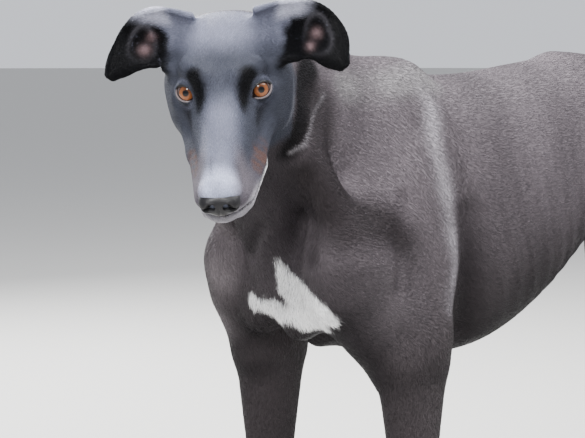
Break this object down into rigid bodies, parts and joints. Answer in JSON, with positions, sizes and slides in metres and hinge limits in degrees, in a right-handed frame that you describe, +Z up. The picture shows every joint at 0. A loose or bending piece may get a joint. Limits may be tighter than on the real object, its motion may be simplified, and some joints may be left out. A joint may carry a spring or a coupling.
{
  "type": "greyhound",
  "caption": "Life-size still model of a standing black greyhound, head turned to its left and lowered, ears held out to the sides.",
  "frame": {"origin": "on the floor, under the middle of the whole model's box", "axes": "+Z up, the dog faces -Y, and its left side is towards +X"},
  "size_m": [0.3208, 1.1003, 0.7628],
  "materials": {
    "coat": "short glossy black coat with a white patch on the chest, satin",
    "nose": "moist pebbled black skin",
    "eye": "glossy amber brown",
    "claw": "worn dark horn"
  },
  "bodies": {
    "root": {"ear_left": "coat", "ear_right": "coat", "eye_left": "eye", "eye_right": "eye", "forearm_left": "coat", "forearm_right": "coat", "front_claw_left_1": "claw", "front_claw_left_2": "claw", "front_claw_left_3": "claw", "front_claw_left_4": "claw", "front_claw_right_1": "claw", "front_claw_right_2": "claw", "front_claw_right_3": "claw", "front_claw_right_4": "claw", "front_pastern_left": "coat", "front_pastern_right": "coat", "front_paw_left": "coat", "front_paw_right": "coat", "head": "coat", "neck": "coat", "nose": "nose", "rear_claw_left_1": "claw", "rear_claw_left_2": "claw", "rear_claw_left_3": "claw", "rear_claw_left_4": "claw", "rear_claw_right_1": "claw", "rear_claw_right_2": "claw", "rear_claw_right_3": "claw", "rear_claw_right_4": "claw", "rear_pastern_left": "coat", "rear_pastern_right": "coat", "rear_paw_left": "coat", "rear_paw_right": "coat", "shank_left": "coat", "shank_right": "coat", "tail": "coat", "thigh_left": "coat", "thigh_right": "coat", "torso": "coat"}
  },
  "joints": []
}
